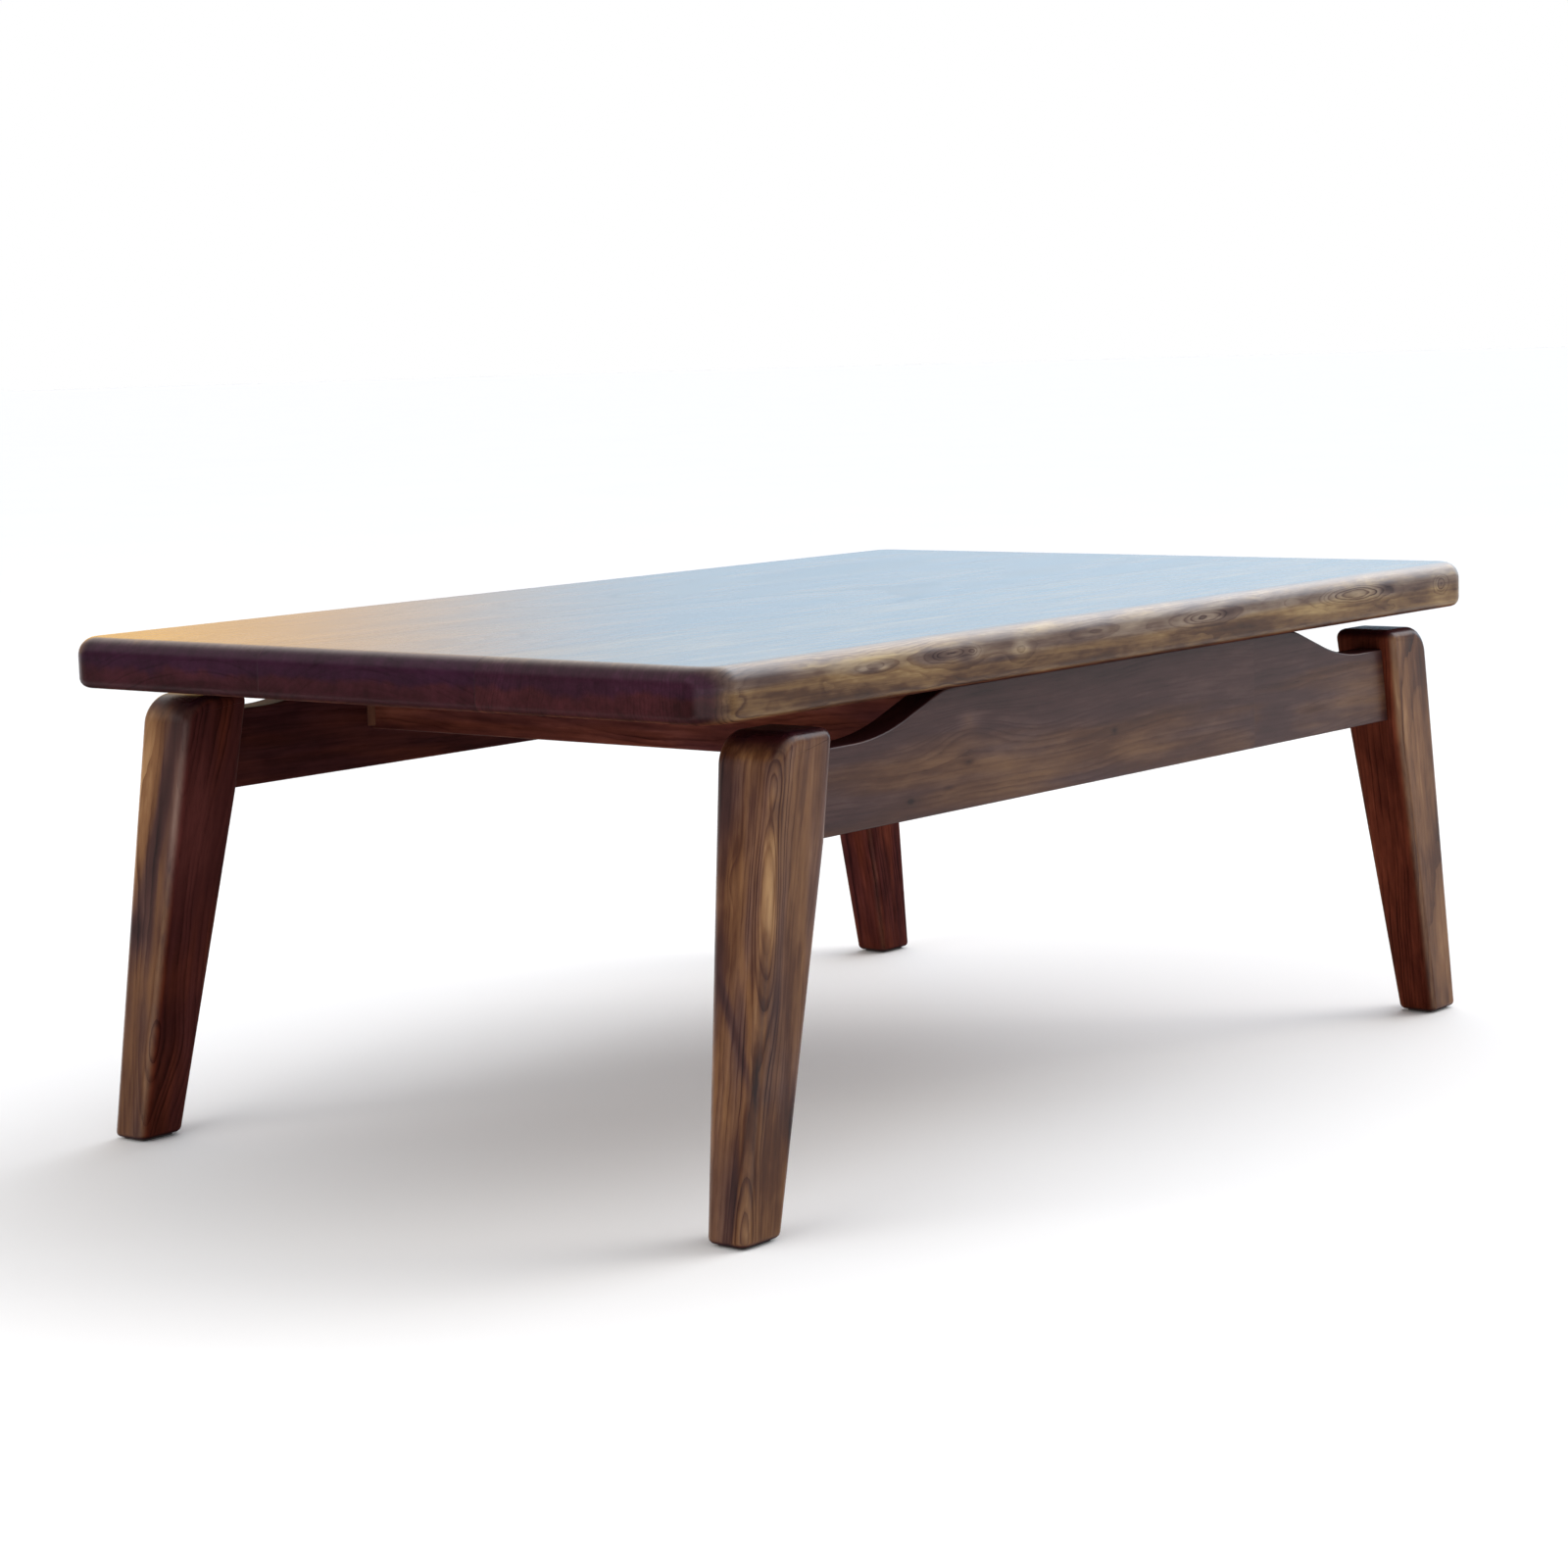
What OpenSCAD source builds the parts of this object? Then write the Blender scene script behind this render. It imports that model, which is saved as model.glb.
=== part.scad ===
// Low floor table in solid wood: three glued boards on a frame of four splayed legs, two long aprons and
// two cross rails. X runs along the table, Y across it, Z up, with the origin on the floor under its middle.
// The front is the side at -Y and the left end is the one at -X. All sizes are in millimetres.

/* [Overall size] */
// Length of the top, along X
table_l = 800; // [720:10:1000]
// Width of the top, along Y
table_w = 500; // [440:10:600]
// Height of the upper face above the floor
table_h = 305; // [270:5:360]

/* [Top] */
// Thickness of the boards
top_t = 30; // [26:1:38]
// Radius along the edges of the top, above and below
top_edge_r = 8; // [3:0.5:11]
// Radius of the four corners, seen from above
top_corner_r = 20; // [14:1:40]
// Width of the front board and of the back board; the middle board takes the rest
outer_board_w = 166; // [140:1:190]

/* [Legs] */
// How far the foot's outer face stands in from the end of the top
foot_end_inset = 14; // [4:1:30]
// How far the leg's outer face stands in from the end of the top, at its head
head_end_inset = 55.5; // [48:0.5:70]
// How far the leg's outer face stands in from the long edge of the top
leg_side_inset = 3; // [0:0.5:8]
// Length of the leg along X, from its head down to the apron's lower edge
leg_l = 48; // [42:1:56]
// Length of the foot along X
foot_l = 34; // [28:1:40]
// Width of the head along Y
head_w = 44; // [38:1:50]
// Width of the foot along Y
foot_w = 27.5; // [22:0.5:34]
// Open gap between the head and the underside of the top
head_gap = 9.5; // [5:0.5:14]
// Radius of the leg's long edges and of the edges round its head
leg_edge_r = 5; // [2:0.5:7]
// Radius of the outer shoulder, at the head
shoulder_r = 20; // [10:1:26]
// Radius round the sole of the foot
sole_r = 3; // [1:0.5:4]

/* [Aprons] */
// Thickness of the front and back aprons
apron_t = 20; // [17:1:24]
// Height of the aprons, up to the underside of the top
apron_h = 70; // [62:1:80]
// How far the apron's outer face lies behind the leg's
apron_setback = 8; // [5:0.5:11]
// Depth of the scoop in the upper edge, at each end
scoop_depth = 22; // [14:1:25]
// Level stretch of the scoop, beside the leg
scoop_flat = 25.5; // [15:0.5:35]
// Length of the scoop's curve, from the level stretch to the crest
scoop_run = 93; // [86:1:105]
// Radius of the hollow at the foot of the curve
scoop_hollow_r = 145; // [90:5:150]
// Radius of the crest at the head of the curve
scoop_crest_r = 40; // [20:5:45]

/* [Cross rails] */
// Thickness of the cross rails, along X
rail_t = 22; // [18:1:28]
// Height of the cross rails, up to the underside of the top
rail_h = 46; // [38:1:54]
// Distance from the scoop's crest to the rail's outer face
rail_inset = 0; // [0:1:20]

/* [Corner beads] */
// Width of each of the two glued faces of a corner bead
bead_side = 4; // [3:0.5:8]
// How far a bead stops short of the rail's upper and lower edges
bead_inset = 2; // [1:0.5:8]

/* [Joints] */
// Thickness of the apron's tenons
tenon_t = 8; // [6:1:10]
// Height of the apron's tenons
tenon_h = 36; // [28:1:38]
// Height of wood left under the apron's tenons
tenon_shoulder = 6; // [3:1:8]
// Length of the apron's tenons, from the leg's face at their upper side
tenon_l = 24; // [18:1:28]
// Thickness of the rail's stub tenons
stub_t = 10; // [7:1:13]
// Height of the rail's stub tenons
stub_h = 30; // [22:1:36]
// Length of the rail's stub tenons
stub_l = 8; // [5:1:10]
// Room for glue on each side of a tenon
glue_gap = 0.1; // [0.05:0.05:0.3]
// Room beyond the end of a tenon
end_gap = 1; // [0.5:0.5:2]

/* [Screws] */
// Diameter of the shank of the screws that hold the top
screw_d = 4; // [3:0.5:5]
// Depth to which the screws reach into the top
screw_bite = 18; // [12:1:22]
// Diameter of the screw head
screw_head_d = 8; // [7:0.5:9]
// Height of the screw head
screw_head_h = 3; // [2:0.5:4]
// Width of the cross recess in the screw head
screw_slot_w = 1.2; // [0.8:0.2:1.6]
// Diameter of the counterbore under the rail
sink_d = 11; // [10:0.5:13]
// Depth of the counterbore under the rail
sink_depth = 18; // [10:1:26]
// Clearance round the shank, on each side
screw_gap = 0.1; // [0.05:0.05:0.4]

/* [Foot pads] */
// Thickness of the felt pads
pad_t = 1.5; // [1:0.5:3]
// How far a pad stands in from the edges of the foot
pad_inset = 4.5; // [4:0.5:7]
// Radius of a pad's corners
pad_corner_r = 3; // [1:0.5:4]

/* [Hidden] */
$fn = 96;
// Overshoot of a cut past the face that it opens
over = 1;

half_l = table_l / 2;
half_w = table_w / 2;
under_z = table_h - top_t;

foot_x = half_l - foot_end_inset;
head_x = half_l - head_end_inset;
leg_y = half_w - leg_side_inset;
head_z = under_z - head_gap;
knee_z = under_z - apron_h;
// Outward normals of the leg's two long faces
leg_out_y = [0, 1, 0];
leg_in_y = unit([0, pad_t - head_z, foot_w - head_w]);

apron_y = leg_y - apron_setback;
apron_in_y = apron_y - apron_t;
scoop_z = under_z - scoop_depth;
scoop_flat_x = leg_in_x(scoop_z) - scoop_flat;
crest_x = scoop_flat_x - scoop_run;

// The hollow and the crest shrink together where their radii are too large for the curve's run and depth
scoop_r_limit = (pow(scoop_run, 2) + pow(scoop_depth, 2)) / (2 * scoop_depth);
scoop_fit = min(1, scoop_r_limit / (scoop_hollow_r + scoop_crest_r));
hollow_r = scoop_hollow_r * scoop_fit;
crest_r = scoop_crest_r * scoop_fit;
scoop_slope = slope_between_arcs(scoop_run, scoop_depth, hollow_r + crest_r);

rail_x = crest_x - rail_inset;
rail_mid_x = rail_x - rail_t / 2;
rail_z = under_z - rail_h;
stub_z = rail_z + (rail_h - stub_h) / 2;

tenon_z = knee_z + tenon_shoulder;
tenon_tip_x = leg_in_x(tenon_z + tenon_h) + tenon_l;
apron_mid_y = apron_y - apron_t / 2;

middle_board_w = table_w - 2 * outer_board_w;
board_mid_y = (middle_board_w + outer_board_w) / 2;
screw_seat_z = rail_z + sink_depth;

// Colours close to the stained wood, the felt and the steel
WOOD_TOP = "#6b4a35";
WOOD_LEG = "#5e4130";
WOOD_FRAME = "#6a5348";
FELT = "#3a3632";
STEEL = "#b9b6ae";

// X of the leg's outer face at height z
function leg_out_x(z) = foot_x + (head_x - foot_x) * (z - pad_t) / (head_z - pad_t);

// X of the leg's inner face at height z, above the knee
function leg_in_x(z) = leg_out_x(z) - leg_l;

function unit(v) = v / norm(v);

// Half of the angle at corner b, between the sides to a and to c
function half_angle(a, b, c) = acos(unit(a - b) * unit(c - b)) / 2;

// Centre of the arc of radius r that rounds corner b
function arc_centre(a, b, c, r) = b + unit(unit(a - b) + unit(c - b)) * r / sin(half_angle(a, b, c));

// Where that arc leaves the two sides
function arc_ends(a, b, c, r) = [
    b + unit(a - b) * r / tan(half_angle(a, b, c)),
    b + unit(c - b) * r / tan(half_angle(a, b, c))
];

// Slope of the straight line that touches two arcs of opposite hand, whose radii add up to r_sum
function slope_between_arcs(run, rise, r_sum) =
    atan2(run, r_sum - rise) - acos(min(1, r_sum / norm([run, r_sum - rise])));

// A convex outline with each corner rounded by its own radius, 0 for a sharp corner
module rounded_outline(points, radii) {
    n = len(points);
    polygon([
        for (i = [0 : n - 1])
            each (radii[i] > 0
                ? arc_ends(points[(i + n - 1) % n], points[i], points[(i + 1) % n], radii[i])
                : [points[i]])
    ]);
    for (i = [0 : n - 1])
        if (radii[i] > 0)
            translate(arc_centre(points[(i + n - 1) % n], points[i], points[(i + 1) % n], radii[i]))
                circle(r = radii[i]);
}

// A shape drawn in the corner at +X and +Y, carried to the corner with the given signs
module to_corner(side_x, side_y) {
    mirror([side_x < 0 ? 1 : 0, 0, 0])
        mirror([0, side_y < 0 ? 1 : 0, 0])
            children();
}

// What has to go to round the edge from p to q, where faces with outward normals a and b meet
module edge_waste(p, q, a, b, r) {
    along = unit(q - p);
    across = cross(along, a);
    b_flat = [b * a, b * across];
    centre = -unit([1, 0] + b_flat) * r / sqrt((1 + b_flat.x) / 2);
    multmatrix([
        [a.x, across.x, along.x, p.x],
        [a.y, across.y, along.y, p.y],
        [a.z, across.z, along.z, p.z],
        [0, 0, 0, 1]
    ])
        linear_extrude(norm(q - p))
            difference() {
                polygon([
                    centre,
                    centre + [r + over, 0],
                    ([1, 0] + b_flat) * over * 2,
                    centre + b_flat * (r + over)
                ]);
                translate(centre)
                    circle(r = r);
            }
}

// The leg seen from the front, in X and Z, with its head, shoulder, knee and foot
module leg_side_outline() {
    rounded_outline(
        [
            [foot_x, pad_t],
            [head_x, head_z],
            [head_x - leg_l, head_z],
            [leg_in_x(knee_z), knee_z],
            [foot_x - foot_l, pad_t]
        ],
        [sole_r, shoulder_r, leg_edge_r, 0, sole_r]
    );
}

// The leg seen from the end, in Y and Z: upright outside, tapered inside
module leg_end_outline() {
    rounded_outline(
        [
            [leg_y, pad_t],
            [leg_y, head_z],
            [leg_y - head_w, head_z],
            [leg_y - foot_w, pad_t]
        ],
        [sole_r, leg_edge_r, leg_edge_r, sole_r]
    );
}

// Waste along the long edges of the leg
module leg_edge_wastes() {
    out_foot = [foot_x, pad_t];
    out_head = [head_x, head_z];
    knee = [leg_in_x(knee_z), knee_z];
    in_lines = [
        [knee, [head_x - leg_l, head_z]],
        [[foot_x - foot_l, pad_t], knee]
    ];
    for (y_face = [leg_out_y, leg_in_y]) {
        edge_line_waste(out_foot, out_head, unit([head_z - pad_t, 0, foot_x - head_x]), y_face);
        for (line = in_lines) {
            run = line[1] - line[0];
            edge_line_waste(line[0], line[1], unit([-run.y, 0, run.x]), y_face);
        }
    }
}

// Waste along one long edge, which lies over the line from a to b in X and Z, and on the face y_face
module edge_line_waste(a, b, x_face, y_face) {
    margin = (b - a) / 4;
    p = a - margin;
    q = b + margin;
    edge_waste(leg_point(p, y_face), leg_point(q, y_face), x_face, y_face, leg_edge_r);
}

// The point over p, in X and Z, that lies on the leg's outer or inner long face
function leg_point(p, y_face) = [
    p.x,
    y_face.y > 0 ? leg_y : leg_y - foot_w - (head_w - foot_w) * (p.y - pad_t) / (head_z - pad_t),
    p.y
];

// Waste along the curve of the shoulder, on the leg's outer or inner long face
module shoulder_waste(y_face) {
    lean = atan2(foot_x - head_x, head_z - pad_t);
    centre = arc_centre([foot_x, pad_t], [head_x, head_z], [head_x - leg_l, head_z], shoulder_r);
    translate(leg_point(centre, y_face))
        rotate([atan2(-y_face.z, abs(y_face.y)), 0, 0])
            rotate([y_face.y > 0 ? 90 : -90, 0, 0])
                rotate([0, 0, y_face.y > 0 ? lean : -90])
                    rotate_extrude(angle = 90 - lean)
                        translate([shoulder_r - leg_edge_r, leg_edge_r])
                            difference() {
                                translate([0, -leg_edge_r - over])
                                    square([leg_edge_r + over, leg_edge_r + over]);
                                circle(r = leg_edge_r);
                            }
}

// A splayed leg with its mortise for the apron
module leg(side_x, side_y) {
    color(WOOD_LEG)
        to_corner(side_x, side_y)
            difference() {
                intersection() {
                    translate([0, leg_y + over, 0])
                        rotate([90, 0, 0])
                            linear_extrude(head_w + 2 * over)
                                leg_side_outline();
                    rotate([90, 0, 90])
                        linear_extrude(half_l)
                            leg_end_outline();
                }
                leg_edge_wastes();
                shoulder_waste(leg_out_y);
                shoulder_waste(leg_in_y);
                mortise();
            }
}

// The mortise in a leg, which takes the apron's tenon
module mortise() {
    start_x = leg_in_x(under_z) - over;
    translate([start_x, apron_mid_y - tenon_t / 2 - glue_gap, tenon_z - glue_gap])
        cube([
            tenon_tip_x + end_gap - start_x,
            tenon_t + 2 * glue_gap,
            tenon_h + 2 * glue_gap
        ]);
}

// What the scoop takes out of the apron's right end, in X and Z
module scoop_outline() {
    hollow_centre = [scoop_flat_x, scoop_z + hollow_r];
    crest_centre = [crest_x, under_z - crest_r];
    hollow_end = hollow_centre + hollow_r * [-sin(scoop_slope), -cos(scoop_slope)];
    crest_end = crest_centre + crest_r * [sin(scoop_slope), cos(scoop_slope)];
    end_x = leg_out_x(scoop_z);
    difference() {
        union() {
            polygon([
                [end_x, scoop_z],
                [end_x, under_z + over],
                [crest_x, under_z + over],
                [crest_x, under_z],
                crest_end,
                hollow_end,
                [scoop_flat_x, scoop_z]
            ]);
            intersection() {
                translate(hollow_centre)
                    circle(r = hollow_r, $fn = 360);
                translate([hollow_end.x, scoop_z - over])
                    square([scoop_flat_x - hollow_end.x, hollow_end.y - scoop_z + over]);
            }
        }
        translate(crest_centre)
            circle(r = crest_r, $fn = 180);
    }
}

// A long apron: scooped at both ends of its upper edge, with a tenon into each leg
module apron(side_y) {
    color(WOOD_FRAME)
        to_corner(1, side_y)
            difference() {
                union() {
                    translate([0, apron_y, 0])
                        rotate([90, 0, 0])
                            linear_extrude(apron_t)
                                difference() {
                                    polygon([
                                        [-leg_in_x(knee_z), knee_z],
                                        [leg_in_x(knee_z), knee_z],
                                        [leg_in_x(under_z), under_z],
                                        [-leg_in_x(under_z), under_z]
                                    ]);
                                    scoop_outline();
                                    mirror([1, 0, 0])
                                        scoop_outline();
                                }
                    translate([-tenon_tip_x, apron_mid_y - tenon_t / 2, tenon_z])
                        cube([2 * tenon_tip_x, tenon_t, tenon_h]);
                }
                for (side_x = [-1, 1])
                    stub_mortise(side_x);
            }
}

// The pocket in the apron's inner face, which takes a rail's stub tenon
module stub_mortise(side_x) {
    translate([
        side_x * rail_mid_x - stub_t / 2 - glue_gap,
        apron_in_y - over,
        stub_z - glue_gap
    ])
        cube([
            stub_t + 2 * glue_gap,
            stub_l + end_gap + over,
            stub_h + 2 * glue_gap
        ]);
}

// A cross rail between the aprons, with stub tenons and counterbored screw holes
module rail(side_x) {
    color(WOOD_FRAME)
        to_corner(side_x, 1)
            difference() {
                union() {
                    translate([rail_x - rail_t, -apron_in_y, rail_z])
                        cube([rail_t, 2 * apron_in_y, rail_h]);
                    translate([rail_mid_x - stub_t / 2, -apron_in_y - stub_l, stub_z])
                        cube([stub_t, 2 * (apron_in_y + stub_l), stub_h]);
                }
                for (y = [-board_mid_y, 0, board_mid_y])
                    translate([rail_mid_x, y, rail_z - over]) {
                        cylinder(d = screw_d + 2 * screw_gap, h = rail_h + 2 * over);
                        cylinder(d = sink_d, h = sink_depth + over);
                    }
            }
}

// A slim three-sided bead, glued into the corner between a rail and an apron
module corner_bead(side_x, side_y) {
    color(WOOD_FRAME)
        to_corner(side_x, side_y)
            translate([rail_x, apron_in_y, rail_z + bead_inset])
                linear_extrude(rail_h - 2 * bead_inset)
                    polygon([[0, 0], [0, -bead_side], [bead_side, 0]]);
}

// The whole top before it is divided: straight rounded edges between four rounded corners
module top_blank() {
    corner_x = half_l - top_corner_r;
    corner_y = half_w - top_corner_r;
    translate([0, corner_y, table_h - top_t / 2])
        rotate([90, 0, 0])
            linear_extrude(2 * corner_y)
                slab_outline(table_l);
    translate([-corner_x, 0, table_h - top_t / 2])
        rotate([90, 0, 90])
            linear_extrude(2 * corner_x)
                slab_outline(table_w);
    for (x = [-corner_x, corner_x])
        for (y = [-corner_y, corner_y])
            translate([x, y, table_h - top_t / 2])
                rotate_extrude()
                    intersection() {
                        slab_outline(2 * top_corner_r);
                        translate([0, -top_t])
                            square([2 * top_corner_r, 2 * top_t]);
                    }
}

// A section of the top of the given width, with its four long edges rounded
module slab_outline(width) {
    rounded_outline(
        [
            [-width / 2, -top_t / 2],
            [width / 2, -top_t / 2],
            [width / 2, top_t / 2],
            [-width / 2, top_t / 2]
        ],
        [top_edge_r, top_edge_r, top_edge_r, top_edge_r]
    );
}

// The board whose middle line lies at mid_y
module top_board(mid_y, width) {
    color(WOOD_TOP)
        difference() {
            intersection() {
                top_blank();
                translate([-table_l, mid_y - width / 2, 0])
                    cube([2 * table_l, width, 2 * table_h]);
            }
            for (side_x = [-1, 1])
                translate([side_x * rail_mid_x, mid_y, under_z - over])
                    cylinder(d = screw_d + 2 * screw_gap, h = screw_bite + end_gap + over);
        }
}

// One screw, head down, with a cross recess
module screw() {
    difference() {
        union() {
            translate([0, 0, -screw_head_h])
                cylinder(d = screw_head_d, h = screw_head_h);
            cylinder(d = screw_d, h = under_z + screw_bite - screw_seat_z);
        }
        for (turn = [0, 90])
            rotate([0, 0, turn])
                translate([-screw_head_d / 4, -screw_slot_w / 2, -screw_head_h - over])
                    cube([screw_head_d / 2, screw_slot_w, screw_head_h / 2 + over]);
    }
}

// The screws that come up through the rails, one under the middle of each board
module top_screws() {
    color(STEEL)
        for (side_x = [-1, 1])
            for (y = [-board_mid_y, 0, board_mid_y])
                translate([side_x * rail_mid_x, y, screw_seat_z])
                    screw();
}

// A felt pad under a foot
module foot_pad(side_x, side_y) {
    in_x = foot_x - foot_l + pad_inset;
    in_y = leg_y - foot_w + pad_inset;
    out_x = foot_x - pad_inset;
    out_y = leg_y - pad_inset;
    color(FELT)
        to_corner(side_x, side_y)
            linear_extrude(pad_t)
                rounded_outline(
                    [[in_x, in_y], [out_x, in_y], [out_x, out_y], [in_x, out_y]],
                    [pad_corner_r, pad_corner_r, pad_corner_r, pad_corner_r]
                );
}

top_board(-board_mid_y, outer_board_w);  // top_board_front
top_board(0, middle_board_w);  // top_board_middle
top_board(board_mid_y, outer_board_w);  // top_board_back
leg(-1, -1);  // leg_front_left
leg(1, -1);  // leg_front_right
leg(-1, 1);  // leg_back_left
leg(1, 1);  // leg_back_right
apron(-1);  // apron_front
apron(1);  // apron_back
rail(-1);  // rail_left
rail(1);  // rail_right
corner_bead(-1, -1);  // corner_bead_front_left
corner_bead(1, -1);  // corner_bead_front_right
corner_bead(-1, 1);  // corner_bead_back_left
corner_bead(1, 1);  // corner_bead_back_right
top_screws();
foot_pad(-1, -1);  // foot_pad_front_left
foot_pad(1, -1);  // foot_pad_front_right
foot_pad(-1, 1);  // foot_pad_back_left
foot_pad(1, 1);  // foot_pad_back_right
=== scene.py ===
import math

import bmesh
import bpy
from mathutils import Euler, Matrix, Vector


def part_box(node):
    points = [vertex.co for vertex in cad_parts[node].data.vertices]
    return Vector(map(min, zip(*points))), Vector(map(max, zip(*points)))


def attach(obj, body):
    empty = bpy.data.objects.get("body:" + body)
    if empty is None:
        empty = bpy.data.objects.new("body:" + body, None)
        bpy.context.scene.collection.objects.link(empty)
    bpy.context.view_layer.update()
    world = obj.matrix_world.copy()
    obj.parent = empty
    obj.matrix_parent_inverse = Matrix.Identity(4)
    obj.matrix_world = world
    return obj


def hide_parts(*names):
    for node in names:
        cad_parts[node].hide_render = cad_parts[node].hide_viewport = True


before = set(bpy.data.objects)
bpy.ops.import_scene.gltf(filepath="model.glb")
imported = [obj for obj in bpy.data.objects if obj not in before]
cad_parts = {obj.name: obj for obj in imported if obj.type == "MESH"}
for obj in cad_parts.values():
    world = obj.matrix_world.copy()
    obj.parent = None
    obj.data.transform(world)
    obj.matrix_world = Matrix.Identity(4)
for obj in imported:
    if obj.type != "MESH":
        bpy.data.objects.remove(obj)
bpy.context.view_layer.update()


# The top: three ash boards, planed to 30 mm, edge-glued with the heart side down and rounded over all
# round. They are stained walnut brown and finished in satin lacquer. The front board's rings stand
# upright along its outer edge, so that edge shows flat-sawn figures.

TOP_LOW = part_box("top_board_front")[0]
TOP_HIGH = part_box("top_board_back")[1]
TOP_CORNER_R = 0.020
TOP_UPPER_R = 0.011
TOP_LOWER_R = 0.006
TOP_CORNER_STEPS = 12
TOP_UPPER_STEPS = 10
TOP_LOWER_STEPS = 6
GLUE_LINE_CHAMFER = 0.00018
SMOOTH_ANGLE = math.radians(35)
NEAR = 1e-5
CORNERS = {
    "front_left": (-1, -1),
    "front_right": (1, -1),
    "back_left": (-1, 1),
    "back_right": (1, 1),
}


def select_only(piece):
    """Makes the piece the active one and the only one that is selected."""
    bpy.ops.object.select_all(action="DESELECT")
    piece.select_set(True)
    bpy.context.view_layer.objects.active = piece


def start_block(name, low, high):
    """A box between two corners, with its origin on the floor under the table's middle."""
    bpy.ops.object.select_all(action="DESELECT")
    bpy.ops.mesh.primitive_cube_add(size=1, location=(Vector(low) + Vector(high)) / 2)
    piece = bpy.context.object
    piece.name = name
    piece.data.name = name
    piece.scale = Vector(high) - Vector(low)
    bpy.ops.object.transform_apply(location=True, rotation=True, scale=True)
    return piece


def pick_edges(piece, wanted):
    """Opens the piece in edit mode with only those edges selected whose two ends pass the test."""
    bpy.ops.object.mode_set(mode="EDIT")
    bpy.ops.mesh.select_mode(type="EDGE")
    bpy.ops.mesh.select_all(action="DESELECT")
    mesh = bmesh.from_edit_mesh(piece.data)
    for edge in mesh.edges:
        if wanted(edge.verts[0].co, edge.verts[1].co):
            edge.select_set(True)
    bmesh.update_edit_mesh(piece.data)


def round_edges(piece, radius, segments, wanted):
    """Rounds the edges that pass the test."""
    pick_edges(piece, wanted)
    bpy.ops.mesh.bevel(
        offset=radius, offset_type="OFFSET", segments=segments, profile=0.5, affect="EDGES"
    )
    bpy.ops.object.mode_set(mode="OBJECT")


def smooth_piece(piece):
    """Shades the rounded edges smooth while the wide faces stay flat."""
    select_only(piece)
    bpy.ops.object.shade_smooth_by_angle(angle=SMOOTH_ANGLE)
    weighted = piece.modifiers.new("flat faces stay flat", "WEIGHTED_NORMAL")
    weighted.keep_sharp = True
    bpy.ops.object.modifier_apply(modifier=weighted.name)


def make_board(name, node):
    """One board of the top, rounded on its outer sides and barely chamfered at its glue lines."""
    low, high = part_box(node)
    board = start_block(name, low, high)
    glued = [y for y in (low.y, high.y) if TOP_LOW.y + NEAR < y < TOP_HIGH.y - NEAR]

    def at_corner(a, b):
        return abs(a.z - b.z) > NEAR and abs(abs(a.y) - TOP_HIGH.y) < NEAR

    def at_glue_line(a, b):
        return any(abs(a.y - y) + abs(b.y - y) < NEAR for y in glued)

    def at_upper_rim(a, b):
        return min(a.z, b.z) > high.z - NEAR and not at_glue_line(a, b)

    def at_lower_rim(a, b):
        return max(a.z, b.z) < low.z + NEAR and not at_glue_line(a, b)

    if len(glued) == 1:
        round_edges(board, TOP_CORNER_R, TOP_CORNER_STEPS, at_corner)
    round_edges(board, TOP_UPPER_R, TOP_UPPER_STEPS, at_upper_rim)
    round_edges(board, TOP_LOWER_R, TOP_LOWER_STEPS, at_lower_rim)
    round_edges(board, GLUE_LINE_CHAMFER, 1, at_glue_line)
    smooth_piece(board)
    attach(board, "root")
    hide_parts(node)
    return board


class Value:
    """A shader socket that takes part in sums: each operator adds its Math node."""

    def __init__(self, shader, socket):
        self.shader = shader
        self.socket = socket

    def apply(self, operation):
        """The value after a Math operation that takes nothing else."""
        return self.shader.math(operation, self)

    def __add__(self, other):
        return self.shader.math("ADD", self, other)

    def __radd__(self, other):
        return self.shader.math("ADD", other, self)

    def __sub__(self, other):
        return self.shader.math("SUBTRACT", self, other)

    def __rsub__(self, other):
        return self.shader.math("SUBTRACT", other, self)

    def __mul__(self, other):
        return self.shader.math("MULTIPLY", self, other)

    def __truediv__(self, other):
        return self.shader.math("DIVIDE", self, other)


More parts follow.
